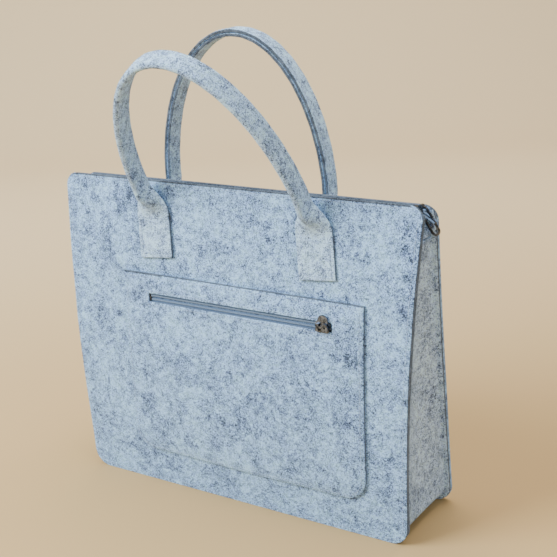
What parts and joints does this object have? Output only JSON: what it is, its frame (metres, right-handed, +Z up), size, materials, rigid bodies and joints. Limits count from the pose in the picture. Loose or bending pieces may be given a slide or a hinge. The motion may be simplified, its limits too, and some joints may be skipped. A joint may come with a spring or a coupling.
{
  "type": "knitting bag",
  "caption": "Felt knitting bag with leaning bowed panels, a sewn gusset, a zipped front pocket, a zipped mouth and folded felt strap handles that swing.",
  "frame": {"origin": "middle of the base on the surface the bag stands on", "axes": "+X to the bag's right seen from the front, -Y out of the front, +Z up"},
  "size_m": [0.3908, 0.1767, 0.4365],
  "materials": {
    "felt_panel": "matte",
    "felt_gusset": "matte",
    "felt_strap": "matte",
    "zip_tape": "matte",
    "zip_coil": "satin",
    "zip_metal": "aged",
    "thread": "matte"
  },
  "bodies": {
    "shell": {"front_panel": "felt_panel", "back_panel": "felt_panel", "gusset_strip": "felt_gusset", "pocket_patch": "felt_panel", "pocket_zip_upper_tape": "zip_tape", "pocket_zip_lower_tape": "zip_tape", "pocket_zip_upper_coil": "zip_coil", "pocket_zip_lower_coil": "zip_coil", "pocket_zip_stops": "zip_metal", "top_zip_front_tape": "zip_tape", "top_zip_back_tape": "zip_tape", "top_zip_front_coil": "zip_coil", "top_zip_back_coil": "zip_coil", "top_zip_stops": "zip_metal", "front_left_tab": "felt_strap", "front_right_tab": "felt_strap", "back_left_tab": "felt_strap", "back_right_tab": "felt_strap", "front_seam_thread": "thread", "back_seam_thread": "thread", "front_zip_thread": "thread", "back_zip_thread": "thread", "pocket_edge_thread": "thread", "pocket_zip_thread": "thread", "front_tab_threads": "thread", "back_tab_threads": "thread"},
    "front_handle": {"front_handle_strap": "felt_strap", "front_handle_thread": "thread"},
    "back_handle": {"back_handle_strap": "felt_strap", "back_handle_thread": "thread"},
    "pocket_slider": {"pocket_zip_slider": "zip_metal"},
    "pocket_pull": {"pocket_zip_pull": "zip_metal"},
    "mouth_slider": {"top_zip_slider": "zip_metal"},
    "mouth_pull": {"top_zip_pull": "zip_metal"}
  },
  "joints": [
    {"name": "front_handle_swing", "type": "hinge", "parent": "shell", "child": "front_handle", "pos_m": [0.003, -0.05076, 0.292], "axis": [1, 0, 0], "range_deg": [-32, 50], "stiffness_Nm_per_rad": 0.12, "springref_deg": -2.86},
    {"name": "back_handle_swing", "type": "hinge", "parent": "shell", "child": "back_handle", "pos_m": [-0.005, 0.0074, 0.292], "axis": [1, 0, 0], "range_deg": [-75, 5], "stiffness_Nm_per_rad": 0.12, "springref_deg": -0.29},
    {"name": "pocket_slider_slide", "type": "slide", "parent": "shell", "child": "pocket_slider", "axis": [1, 0, 0], "range_m": [-0.179, 0]},
    {"name": "pocket_pull_turn", "type": "hinge", "parent": "pocket_slider", "child": "pocket_pull", "pos_m": [0.099, -0.05522, 0.19356], "axis": [0, -0.0719, -0.9974], "range_deg": [0, 165]},
    {"name": "mouth_slider_slide", "type": "slide", "parent": "shell", "child": "mouth_slider", "axis": [1, 0, 0], "range_m": [-0.33, 0]},
    {"name": "mouth_pull_turn", "type": "hinge", "parent": "mouth_slider", "child": "mouth_pull", "pos_m": [0.181, -0.0216, 0.2985], "axis": [0, 1, 0], "range_deg": [-200, 30]}
  ]
}
